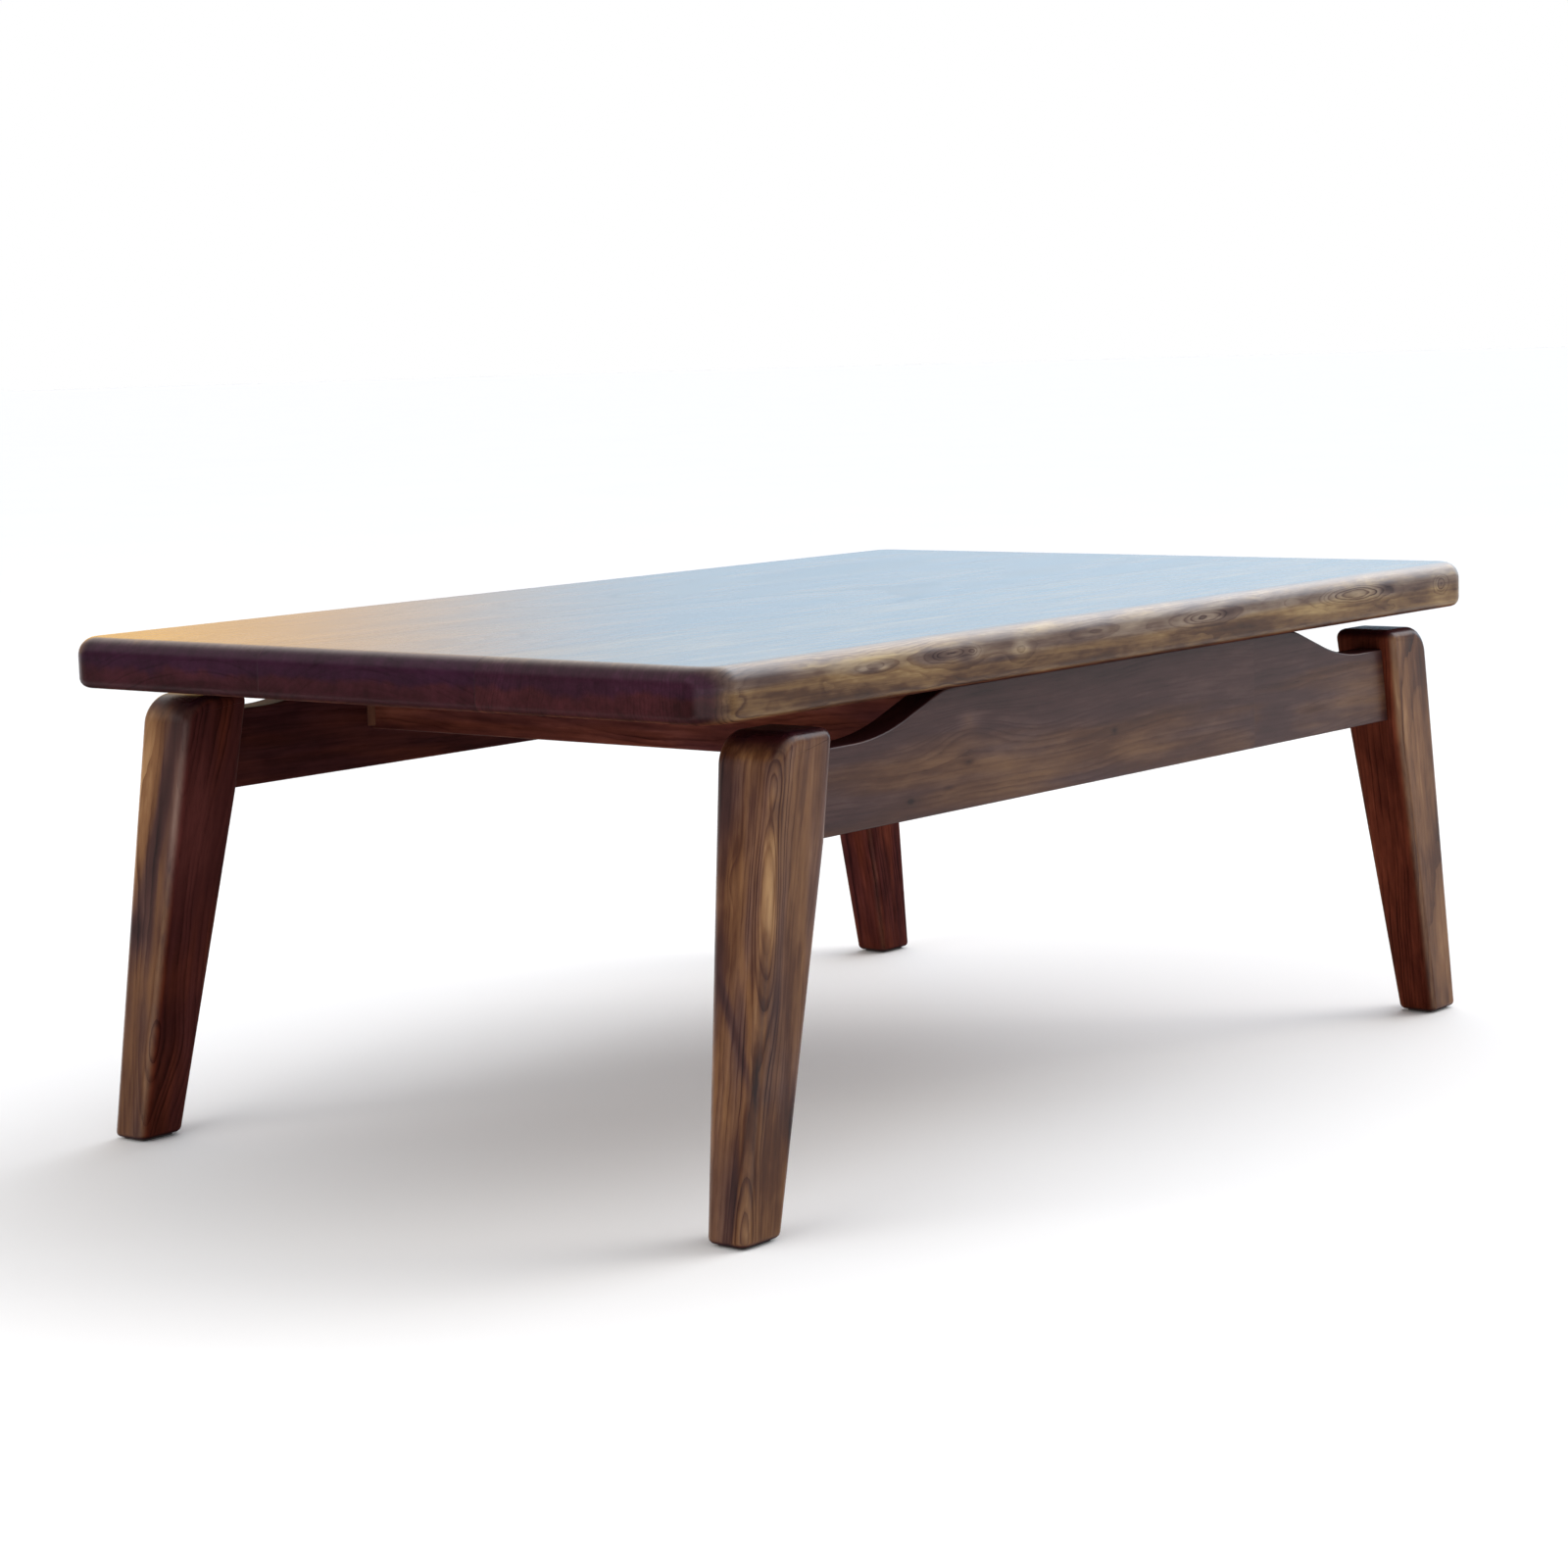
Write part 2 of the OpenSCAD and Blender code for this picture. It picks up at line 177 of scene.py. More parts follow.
class Shader:
    """The node tree of a material or of the room's light, built one node at a time."""

    def __init__(self, owner, surface="Principled BSDF"):
        owner.use_nodes = True
        self.owner = owner
        self.tree = owner.node_tree
        self.surface = self.tree.nodes[surface]

    def node(self, kind, settings=None, inputs=None, output=0):
        """Adds a node with its settings and the values or links of its sockets, and gives an output."""
        made = self.tree.nodes.new(kind)
        for key, value in (settings or {}).items():
            if key == "stops":
                self.set_stops(made.color_ramp, value)
            else:
                setattr(made, key, value)
        for key, value in (inputs or {}).items():
            self.feed(made.inputs[key], value)
        return Value(self, made.outputs[output])

    def set_stops(self, ramp, stops):
        """Gives a colour ramp its stops, which are pairs of a position and a colour."""
        while len(ramp.elements) < len(stops):
            ramp.elements.new(1.0)
        for element, (position, colour) in zip(ramp.elements, stops):
            element.position = position
            element.color = (*colour, 1.0)

    def feed(self, socket, value):
        """Links a value to the socket, or sets the socket's own number or colour."""
        if isinstance(value, Value):
            self.tree.links.new(value.socket, socket)
        elif socket.type == "RGBA" and len(value) == 3:
            socket.default_value = (*value, 1.0)
        else:
            socket.default_value = value

    def fixed(self, **values):
        """Sets numbers and colours that are the same all over the surface."""
        for name, value in values.items():
            self.feed(self.surface.inputs[name.replace("_", " ")], value)

    def varying(self, **values):
        """Links what changes over the surface."""
        for name, value in values.items():
            self.tree.links.new(value.socket, self.surface.inputs[name.replace("_", " ")])

    def math(self, operation, *values):
        """Adds a Math node."""
        return self.node("ShaderNodeMath", {"operation": operation}, dict(enumerate(values)))

    def vector(self, operation, *values, output="Vector"):
        """Adds a Vector Math node."""
        return self.node(
            "ShaderNodeVectorMath", {"operation": operation}, dict(enumerate(values)), output
        )

    def dot(self, first, second):
        """How far two vectors point the same way."""
        return self.vector("DOT_PRODUCT", first, second, output="Value")

    def ramp(self, stops, value):
        """The colour that the stops give at a value from 0 to 1."""
        return self.node("ShaderNodeValToRGB", {"stops": stops}, {"Fac": value})

    def bump(self, height, distance, strength=1.0):
        """A normal for relief in which a height of 1 stands the distance in metres out of the surface."""
        return self.node(
            "ShaderNodeBump", None, {"Strength": strength, "Distance": distance, "Height": height}
        )

    def measured_from(self, centre, place, turn, sizes=(1.0, 1.0, 1.0)):
        """The place measured from a centre along turned axes, with the given sizes as units."""
        return self.node(
            "ShaderNodeMapping",
            {"vector_type": "TEXTURE"},
            {"Vector": place, "Location": centre, "Rotation": turn, "Scale": sizes},
        )

    def millimetres(self):
        """The place on the piece in millimetres of the table's own frame."""
        place = self.node("ShaderNodeTexCoord", output="Object")
        return self.vector("MULTIPLY", place, (1000.0, 1000.0, 1000.0))

    def noise(self, place, sizes, detail, roughness=0.5, output="Fac"):
        """Noise from 0 to 1 whose blotches have the given sizes in the three directions."""
        return self.node(
            "ShaderNodeTexNoise",
            {"noise_dimensions": "3D"},
            {
                "Vector": self.vector("DIVIDE", place, sizes),
                "Scale": 1.0,
                "Detail": detail,
                "Roughness": roughness,
            },
            output,
        )

    def rise(self, value, low, high):
        """Goes smoothly from 0 at low to 1 at high."""
        return self.node(
            "ShaderNodeMapRange",
            {"interpolation_type": "SMOOTHSTEP"},
            {"Value": value, "From Min": low, "From Max": high},
            "Result",
        )

    def blob(self, place, centre, sizes, turn=(0.0, 0.0, 0.0)):
        """A soft blob: 1 in its centre, 0.37 at the given sizes."""
        away = self.measured_from(centre, place, turn, sizes)
        return (0.0 - self.dot(away, away)).apply("EXPONENT")

    def mix(self, factor, first, second, blend="MIX"):
        """Mixes two colours."""
        return self.node(
            "ShaderNodeMix",
            {"data_type": "RGBA", "blend_type": blend},
            {0: factor, 6: first, 7: second},
            2,
        )


# The wood: ash with year rings and open pores, under a walnut stain that turned out purple here and
# golden there. Ramps are stops of a position and a colour. WANDERINGS are the sizes, detail, roughness and
# reach of the noise that bends the year rings, and CURLS are its smallest waves, whose reach each board
# sets. SEED_STEPS and SEAM_STEPS lead to another place in the noise.

EARLY_WOOD = (
    (0.00, (1.00, 1.00, 1.00)),
    (0.13, (0.80, 0.80, 0.80)),
    (0.38, (0.22, 0.22, 0.22)),
    (0.80, (0.00, 0.00, 0.00)),
    (1.00, (0.35, 0.35, 0.35)),
)
PURPLE_STAIN = (
    (0.00, (0.013, 0.0045, 0.0055)),
    (0.30, (0.046, 0.0210, 0.0215)),
    (0.60, (0.116, 0.0700, 0.0640)),
    (1.00, (0.270, 0.2000, 0.1800)),
)
GOLDEN_STAIN = (
    (0.00, (0.018, 0.0050, 0.0030)),
    (0.30, (0.068, 0.0270, 0.0125)),
    (0.60, (0.178, 0.0980, 0.0480)),
    (1.00, (0.410, 0.2850, 0.1550)),
)
# PAINTED_SHADE is painted shade: it darkens and reddens the faces that turn inwards, downwards or lie
# under the top.
PAINTED_SHADE = (0.60, 0.27, 0.31)
END_GRAIN_STAIN = (0.27, 0.10, 0.32)
PORE_STAIN = (0.010, 0.005, 0.005)
MIDDLE_TONE = 0.44
MIDDLE_GOLD = 0.45
RING_DEPTH = 0.000010
PORE_DEPTH = 0.000040
STREAK_HEIGHT = 0.000008
SEED_STEPS = (997.0, 571.0, 313.0)
SEAM_STEPS = (731.0, 47.0, 29.0)
SEAM_GROWTH = 17.0
SEAM_HALF_WIDTH = 0.3
WANDERINGS = (
    ((260.0, 170.0, 170.0), 1.0, 0.40, 34.0),
    ((42.0, 22.0, 22.0), 3.0, 0.55, 3.4),
)
CURLS = ((17.0, 9.0, 9.0), 1.0, 0.50)


def stained_ash(
    name,
    heart,
    turn,
    shaded,
    seed,
    ring_width=3.2,
    swellings=(),
    zones=(),
    tone=0.0,
    gold=0.0,
    tint=(1.0, 1.0, 1.0),
    contrast=1.0,
    mottle=1.0,
    curl=0.0,
    seam_x=None,
):
    """Ash with its year rings, pores, walnut stain and satin lacquer; every length is in millimetres.

    heart is a point on the pith and turn lays the grain, which runs along X unturned, in the piece.
    shaded are the directions of faces that got no lacquer over the stain, so their coat is thin and rough;
    there the colour is darkened and reddened as painted shade.
    seed picks the tree that the piece is cut from.
    swellings are (centre, sizes, height): there the rings bulge and close into eyes and pointed loops.
    zones are (centre, sizes, tone, gold), some with a turn: there the colour is lighter or darker, golden
    or purple. Most are patches of stain; others are painted shade, and others painted highlights and
    reflections.
    tint is how the stain took on the whole piece; contrast and mottle are how plainly the rings and the
    blotches show, and curl is how far the rings wander in small waves.
    seam_x is where two lengths are butted together: beyond it the wood is another board's.
    """
    ash = Shader(bpy.data.materials.new(name))

    # Each piece is cut from a place of its own in the noise, and a butted length from another one.
    place = ash.millimetres()
    grain = ash.measured_from(heart, place, turn)
    other_tree = ash.vector("ADD", grain, tuple(seed * step for step in SEED_STEPS))
    if seam_x is not None:
        place_x = ash.dot(place, (1, 0, 0))
        beyond = ash.rise(place_x, seam_x - SEAM_HALF_WIDTH, seam_x + SEAM_HALF_WIDTH)
        jump = ash.node(
            "ShaderNodeCombineXYZ", None, {axis: beyond * step for axis, step in zip("XYZ", SEAM_STEPS)}
        )
        other_tree = ash.vector("ADD", other_tree, jump)

    # The year rings are tubes round the pith that wander, bulge and are thicker in some years.
    bent = grain
    for sizes, detail, roughness, reach in (*WANDERINGS, (*CURLS, curl)):
        if reach:
            waves = ash.noise(other_tree, sizes, detail, roughness, "Color")
            waves = ash.vector("SUBTRACT", waves, (0.5, 0.5, 0.5))
            bent = ash.vector("MULTIPLY_ADD", waves, (0.0, reach, reach), bent)
    across = ash.vector("MULTIPLY", bent, (0.0, 1.0, 1.0))
    growth = ash.vector("LENGTH", across, output="Value")
    clear = ash.rise(ash.noise(other_tree, (80.0, 30.0, 30.0), 2.0, 0.5), 0.40, 0.66)
    for centre, sizes, height in swellings:
        swelling = ash.blob(place, centre, sizes)
        growth = growth + swelling * height
        clear = clear + swelling
    if seam_x is not None:
        growth = growth + beyond * SEAM_GROWTH
    thick_and_thin = ash.node(
        "ShaderNodeTexNoise",
        {"noise_dimensions": "1D"},
        {"W": growth / 9.0 + seed, "Scale": 1.0, "Detail": 1.0},
    )
    years = growth / ring_width + thick_and_thin * 2.2
    luck = ash.node(
        "ShaderNodeTexWhiteNoise", {"noise_dimensions": "1D"}, {"W": years.apply("FLOOR") + seed}
    )
    early = ash.ramp(EARLY_WOOD, years.apply("FRACT"))
    line = early * (0.25 + luck * 0.75)

    # The stain is blotchy and streaky, and sinks into the pores.
    clouds = ash.noise(other_tree, (120.0, 26.0, 26.0), 3.0, 0.55) - 0.5
    mottles = ash.noise(other_tree, (34.0, 8.0, 8.0), 3.0, 0.6) - 0.5
    hue = ash.noise(other_tree, (170.0, 17.0, 17.0), 2.0, 0.5) - 0.48
    streaks = ash.noise(other_tree, (110.0, 3.6, 3.6), 4.0, 0.68) - 0.5
    pore_field = ash.noise(other_tree, (13.0, 0.42, 0.42), 1.0, 0.5)
    pores = ash.rise(pore_field, 0.60, 0.70) * (0.22 + line * 0.78)

    # End grain, upward faces and rims are told by the way that the surface faces. The upper rims are
    # lighter and more golden in patches, partly from wear and partly as a painted highlight.
    facing = ash.node("ShaderNodeNewGeometry", output="Normal")
    along = Euler(turn).to_matrix() @ Vector((1.0, 0.0, 0.0))
    across_grain = ash.dot(facing, along).apply("ABSOLUTE")
    end_grain = ash.rise(across_grain, 0.20, 0.80)
    flat = ash.vector("ABSOLUTE", facing)
    flattest = ash.dot(ash.vector("MULTIPLY", flat, flat), flat)
    up = ash.dot(facing, (0, 0, 1))
    upward = ash.rise(up, 0.70, 0.98)
    rim = (1.0 - ash.rise(flattest, 0.80, 0.96)) * ash.rise(up, -0.60, 0.10)
    worn_and_highlit = rim * ash.rise(ash.noise(other_tree, (30.0, 9.0, 9.0), 3.0, 0.6), 0.36, 0.66)

    # All of these make the colour lighter or darker, and golden or purple; the rims' lightening is partly
    # a painted highlight.
    ring_tone = (0.26 - line) * (0.22 + clear * 0.78) * (0.36 * contrast)
    ring_tone = ring_tone * (1.0 - ash.rise(across_grain, 0.05, 0.45) * 0.78 - upward * 0.55)
    blotches = (clouds * 0.75 + mottles * 0.50 + streaks * 0.50) * mottle
    blotches = blotches * (1.0 - end_grain * 0.55 - upward * 0.30)
    tone_here = MIDDLE_TONE + tone + blotches + ring_tone + worn_and_highlit * 0.10
    gold_here = MIDDLE_GOLD + gold + hue * 2.6 + clouds * 0.5 + worn_and_highlit * 0.5
    for centre, sizes, lighter, golder, *zone_turn in zones:
        zone = ash.blob(place, centre, sizes, *zone_turn)
        tone_here = tone_here + zone * lighter
        gold_here = gold_here + zone * golder
    tinted = [
        [(position, [c * t for c, t in zip(stain, tint)]) for position, stain in stops]
        for stops in (PURPLE_STAIN, GOLDEN_STAIN)
    ]
    purple, golden = [ash.ramp(stops, tone_here) for stops in tinted]
    colour = ash.mix(ash.rise(gold_here, 0.0, 1.0), purple, golden)
    colour = ash.mix(pores * 0.50, colour, PORE_STAIN)
    colour = ash.mix(end_grain, colour, END_GRAIN_STAIN, "MULTIPLY")

    # The lacquer is thick on top and on the rims, and thin or missing where it soaked in or was left off.
    dull = end_grain * 0.15
    lacquer = 0.32 + upward * 0.68 + rim * 0.60 - end_grain * 0.30 - pores * 0.06
    # Faces turned the shaded ways lose their lacquer, and painted shade darkens and reddens their colour.
    for direction in shaded:
        turned_away = ash.rise(ash.dot(facing, direction), 0.48, 0.96)
        colour = ash.mix(turned_away, colour, PAINTED_SHADE, "MULTIPLY")
        lacquer = lacquer - turned_away * 0.9
        dull = dull + turned_away * 0.40

    relief = line * -RING_DEPTH + pores * -PORE_DEPTH + streaks * STREAK_HEIGHT
    ash.varying(
        Base_Color=colour,
        Roughness=0.42 + line * 0.05 + pores * 0.16 + streaks * 0.10 + clouds * 0.10 + dull,
        Coat_Weight=ash.math("MINIMUM", ash.math("MAXIMUM", lacquer, 0.0), 1.0),
        Normal=ash.bump(relief * (1.0 - upward * 0.92), 1.0),
    )
    ash.fixed(IOR=1.3, Specular_IOR_Level=0.14, Coat_IOR=1.42, Coat_Roughness=0.27)
    return ash.owner


EDGE_FIGURES = (
    ((-266, -250, 294.5), (19, 30, 4.2), 9),
    ((-200, -250, 295.0), (26, 30, 5.5), 13),
    ((-175, -250, 294.0), (6, 30, 4.0), 4),
    ((-130, -250, 291.0), (12, 30, 6.0), 6),
    ((-58, -250, 295.0), (22, 30, 4.5), 7),
    ((60, -250, 293.5), (40, 30, 6.0), 12),
    ((165, -250, 294.5), (10, 30, 3.2), 5),
    ((240, -250, 294.0), (48, 30, 6.5), 13),
    ((360, -250, 292.0), (9, 30, 6.0), 8),
)
# Along the board ends, the upper band is lighter and purple, a painted reflection of the sky; the lower
# band is darker and browner towards the bottom.
END_ZONES = (
    ((-400, 0, 300), (10, 400, 9), 0.07, -2.0),
    ((-400, 0, 277), (10, 400, 10), -0.05, 1.5),
    ((-400, 137, 288), (10, 40, 6), 0.10, 0.0),
)
# Along the front edge, the long zones at the lower rim and the one at its left end darken it as painted
# shade, and the long band near the top lightens and pales it as a painted sheen; the others are figure.
EDGE_ZONES = (
    ((-150, -250, 281), (380, 20, 6.5), -0.20, 0.9),
    ((350, -250, 280), (250, 20, 5.0), -0.08, 1.0),
    ((0, -250, 296), (900, 20, 5.5), 0.15, -0.7),
    ((-267, -250, 292.8), (22, 20, 2.8), -0.38, -0.9),
    ((-276, -250, 293.4), (5, 20, 1.3), 0.50, 0.0),
    ((-258, -250, 292.6), (6, 20, 1.3), 0.50, 0.2),
    ((-212, -250, 295), (15, 20, 4.2), -0.46, -1.8),
    ((-183, -250, 294), (8, 20, 4), -0.42, -1.5),
    ((-150, -250, 288), (26, 20, 1.8), -0.25, -0.5),
    ((-130, -250, 294), (9, 20, 5), 0.22, 0.2),
    ((-56, -250, 296), (22, 20, 4), -0.16, -0.9),
    ((92, -250, 295), (13, 20, 3.5), -0.50, -1.8),
    ((30, -250, 296), (26, 20, 3.5), -0.16, -1.0),
    ((60, -250, 288), (30, 20, 1.5), -0.22, -0.3),
    ((140, -250, 296), (30, 20, 4), -0.12, -0.6),
    ((225, -250, 293), (36, 20, 4), 0.20, 0.2),
    ((288, -250, 294.5), (9, 20, 3), -0.50, -1.3),
    ((255, -250, 287), (26, 20, 1.3), -0.26, -0.3),
    ((360, -250, 292), (4, 20, 3), -0.30, -0.2),
    ((-352, -250, 283), (80, 30, 8), -0.14, 0.9),
    ((330, -250, 283), (90, 20, 8), 0.06, 0.9),
)

front_board = make_board("front_board", "top_board_front")
front_board.data.materials.append(
    stained_ash(
        "ash of the front board",
        heart=(0, -20, 291),
        turn=(0.0, 0.004, 0.012),
        ring_width=2.6,
        swellings=EDGE_FIGURES,
        zones=EDGE_ZONES + END_ZONES,
        shaded=((0, 0, -1),),
        tone=0.05,
        gold=0.12,
        tint=(0.93, 0.94, 0.76),
        contrast=1.9,
        mottle=1.5,
        curl=3.0,
        seed=1.7,
    )
)
middle_board = make_board("middle_board", "top_board_middle")
middle_board.data.materials.append(
    stained_ash(
        "ash of the middle board",
        heart=(0, -15, 125),
        turn=(0.0, 0.040, 0.010),
        ring_width=4.2,
        zones=END_ZONES,
        shaded=((0, 0, -1),),
        tone=-0.04,
        contrast=1.7,
        seed=4.1,
    )
)
back_board = make_board("back_board", "top_board_back")
back_board.data.materials.append(
    stained_ash(
        "ash of the back board",
        heart=(0, 137, 122),
        turn=(0.0, -0.034, -0.006),
        ring_width=4.6,
        zones=END_ZONES,
        shaded=((0, 0, -1),),
        tone=-0.06,
        contrast=1.7,
        seed=8.3,
    )
)


# The legs: four splayed ash legs, sawn to a taper with a knee under the apron, so that the upper part is
# wide enough for the mortise. The outer shoulder is well rounded and all other edges are eased.

LEG_LOW, LEG_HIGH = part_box("leg_back_right")
SOLE_Z = LEG_LOW.z
HEAD_Z = LEG_HIGH.z
FOOT_OUT_X = 0.386
FOOT_IN_X = 0.352
HEAD_OUT_X = 0.3445
LEG_LENGTH_X = 0.048
KNEE_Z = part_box("apron_back")[0].z
LEG_OUT_Y = 0.247
FOOT_IN_Y = 0.2195
HEAD_IN_Y = 0.203
SHOULDER_R = 0.020
HEAD_INNER_R = 0.0078
LEG_EDGE_R = 0.0065
SOLE_R = 0.003
SHOULDER_STEPS = 12
HEAD_INNER_STEPS = 5
LEG_EDGE_STEPS = 7
SOLE_STEPS = 3
SPLAY = math.atan2(FOOT_OUT_X - HEAD_OUT_X, HEAD_Z - SOLE_Z)


def leg_inner_y(z):
    """Where the leg's inner face stands at a height."""
    return FOOT_IN_Y + (HEAD_IN_Y - FOOT_IN_Y) * (z - SOLE_Z) / (HEAD_Z - SOLE_Z)


def leg_outer_x(z):
    """Where the leg's outer face stands at a height."""
    return FOOT_OUT_X + (HEAD_OUT_X - FOOT_OUT_X) * (z - SOLE_Z) / (HEAD_Z - SOLE_Z)


def slide_points(piece, offset, wanted):
    """Moves the points that pass the test."""
    bpy.ops.object.mode_set(mode="EDIT")
    bpy.ops.mesh.select_mode(type="VERT")
    bpy.ops.mesh.select_all(action="DESELECT")
    mesh = bmesh.from_edit_mesh(piece.data)
    for point in mesh.verts:
        if wanted(point.co):
            point.select_set(True)
    bmesh.update_edit_mesh(piece.data)
    bpy.ops.transform.translate(value=offset)
    bpy.ops.object.mode_set(mode="OBJECT")


def cut_across(piece, point, normal):
    """Divides every face of the piece that a plane crosses."""
    select_only(piece)
    bpy.ops.object.mode_set(mode="EDIT")
    bpy.ops.mesh.select_all(action="SELECT")
    bpy.ops.mesh.bisect(plane_co=point, plane_no=normal)
    bpy.ops.object.mode_set(mode="OBJECT")


def copy_piece(piece, name):
    """A copy of the piece with its own mesh, which is then the active piece."""
    select_only(piece)
    bpy.ops.object.duplicate()
    copy = bpy.context.object
    copy.name = name
    copy.data.name = name
    return copy


def mirrored_copy(piece, name, side_x, side_y):
    """A copy of the piece, mirrored to the side with the given signs."""
    copy = copy_piece(piece, name)
    copy.scale = (side_x, side_y, 1.0)
    bpy.ops.object.transform_apply(location=False, rotation=False, scale=True)
    if side_x * side_y < 0:
        bpy.ops.object.mode_set(mode="EDIT")
        bpy.ops.mesh.select_all(action="SELECT")
        bpy.ops.mesh.normals_make_consistent(inside=False)
        bpy.ops.object.mode_set(mode="OBJECT")
    return copy


def make_leg():
    """The leg of the corner at +X and +Y."""
    leg = start_block("leg", (FOOT_IN_X, FOOT_IN_Y, SOLE_Z), (FOOT_OUT_X, LEG_OUT_Y, HEAD_Z))
    cut_across(leg, (0, 0, KNEE_Z), (0, 0, 1))
    for z in (KNEE_Z, HEAD_Z):
        inner_x = leg_outer_x(z) - LEG_LENGTH_X
        outer_shift = leg_outer_x(z) - FOOT_OUT_X
        slide_points(leg, (0, leg_inner_y(z) - FOOT_IN_Y, 0),
                     lambda p: abs(p.z - z) < NEAR and p.y < LEG_OUT_Y - NEAR)
        slide_points(leg, (outer_shift, 0, 0),
                     lambda p: abs(p.z - z) < NEAR and p.x > FOOT_OUT_X - NEAR)
        slide_points(leg, (inner_x - FOOT_IN_X, 0, 0),
                     lambda p: abs(p.z - z) < NEAR and abs(p.x - FOOT_IN_X) < NEAR)

    def at_shoulder(a, b):
        return min(a.z, b.z) > HEAD_Z - NEAR and min(a.x, b.x) > HEAD_OUT_X - NEAR

    def at_inner_head(a, b):
        return min(a.z, b.z) > HEAD_Z - NEAR and max(a.x, b.x) < HEAD_OUT_X - LEG_LENGTH_X + NEAR

    def at_long_face(a, b):
        on_outer = abs(a.y - LEG_OUT_Y) + abs(b.y - LEG_OUT_Y) < NEAR
        on_inner = abs(a.y - leg_inner_y(a.z)) + abs(b.y - leg_inner_y(b.z)) < NEAR
        at_sole = max(a.z, b.z) < SOLE_Z + NEAR
        across_knee = abs(a.z - KNEE_Z) + abs(b.z - KNEE_Z) < NEAR
        return (on_outer or on_inner) and not at_sole and not across_knee

    corner_angle = math.pi / 2 + SPLAY
    round_edges(leg, SHOULDER_R / math.tan(corner_angle / 2), SHOULDER_STEPS, at_shoulder)
    round_edges(leg, HEAD_INNER_R, HEAD_INNER_STEPS, at_inner_head)
    round_edges(leg, LEG_EDGE_R, LEG_EDGE_STEPS, at_long_face)
    round_edges(leg, SOLE_R, SOLE_STEPS, lambda a, b: max(a.z, b.z) < SOLE_Z + NEAR)
    return leg


leg_pattern = make_leg()
NEAR_CORNER_SWELLINGS = (
    ((-357, -246, 190), (10, 10, 76), 14.3),
    ((-349, -247, 241), (7, 7, 13), 5.0),
    ((-370, -246, 96), (12, 12, 30), 0.0),
    ((-384, -247, 14), (10, 10, 36), 8.0),
    ((-356, -222, 190), (30, 5, 12), 4.0),
)
NEAR_CORNER_ZONES = (
    ((-356, -247, 186), (3.8, 3.8, 38), 0.30, 0.5),
    ((-349, -247, 240), (4, 4, 12), 0.18, -0.6),
    ((-370, -247, 105), (6, 6, 26), 0.14, 0.5),
    ((-383, -247, 20), (6, 6, 24), 0.18, 0.1),
    ((-352, -222, 178), (20, 8, 26), 0.14, 0.8),
    ((-368, -229, 115), (30, 2.8, 34), -0.22, -0.9, (-0.44, 0, 0)),
    ((-370, -240, 126), (30, 4, 30), 0.12, 0.5, (-0.30, 0, 0)),
    ((-366, -247, 112), (1.7, 10, 32), -0.22, -0.7, (0, 0.19, 0)),
    ((-372, -231, 64), (20, 6, 26), 0.12, 0.5),
    ((-352, -212, 236), (20, 12, 24), -0.20, -0.8),
    ((-380, -238, 30), (20, 3, 24), -0.22, -0.6),
    ((-335, -247, 150), (8, 10, 60), 0.05, 0.9),
    ((-344, -247, 60), (6, 10, 14), -0.26, -0.3),
    ((-330, -247, 235), (24, 10, 26), 0.02, 0.2),
    ((-362, -247, 36), (20, 8, 34), -0.17, 0.6),
)
LEFT_LEG_SWELLINGS = (
    ((-354, 247, 200), (60, 17, 62), 9.0),
    ((-378, 214, 52), (60, 12, 26), 5.0),
)
LEFT_LEG_ZONES = (
    ((-354, 222, 200), (60, 6, 66), -0.26, -1.4, (0.17, 0, 0)),
    ((-352, 241, 206), (60, 13, 58), 0.34, 1.3, (0.06, 0, 0)),
    # This lighter, purple stripe on the rounded corner is a painted highlight.
    ((-354, 210, 196), (60, 4, 44), 0.26, -1.2, (0.05, 0, 0)),
    # These two zones lighten the leg's inner face, easing its painted shade.
    ((-350, 203, 120), (60, 5, 120), 0.14, 0.0),
    ((-343, 211, 80), (18, 9, 100), 0.24, -0.6),
    ((-366, 238, 126), (60, 8, 8), -0.24, -0.9, (0.9, 0, 0)),
    ((-380, 232, 35), (60, 14, 34), -0.02, 0.6),
    ((-372, 226, 95), (60, 20, 16), 0.06, 0.4),
)
LEG_LOOKS = {
    "front_left": dict(
        heart=(-255, -137, 133),
        swellings=NEAR_CORNER_SWELLINGS,
        zones=NEAR_CORNER_ZONES,
        tone=-0.06,
        contrast=1.2,
        seed=2.2,
    ),
    "front_right": dict(
        heart=(365, -420, 133),
        zones=(
            ((380, -247, 60), (40, 30, 60), -0.04, 1.2),
            ((345, -247, 240), (40, 30, 40), -0.18, -0.2),
        ),
        gold=0.65,
        contrast=1.2,
        seed=5.9,
    ),
    "back_left": dict(
        heart=(-255, 330, 133),
        swellings=LEFT_LEG_SWELLINGS,
        zones=LEFT_LEG_ZONES,
        tone=-0.07,
        contrast=0.7,
        mottle=0.55,
        seed=7.4,
    ),
    "back_right": dict(heart=(230, 300, 133), contrast=1.2, seed=9.6),
}
for corner, look in LEG_LOOKS.items():
    side_x, side_y = CORNERS[corner]
    leg = mirrored_copy(leg_pattern, "splayed_leg_" + corner, side_x, side_y)
    smooth_piece(leg)
    leg.data.materials.append(
        stained_ash(
            "ash of the " + corner.replace("_", " ") + " leg",
            turn=(0.0, math.pi / 2 - side_x * SPLAY, 0.0),
            # The leg's inner faces get painted shade and no lacquer.
            shaded=((-side_x, 0, 0), (0, -side_y, 0)),
            tint=(1.0, 0.83, 0.68),
            **look,
        )
    )
    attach(leg, "root")
    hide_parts("leg_" + corner)
bpy.data.objects.remove(leg_pattern)


# The aprons: two long rails of ash, glued up from an upper and a lower strip, with a scoop band-sawn out
# of each end of the upper edge, so that fingers fit under the top. They are tenoned into the legs.

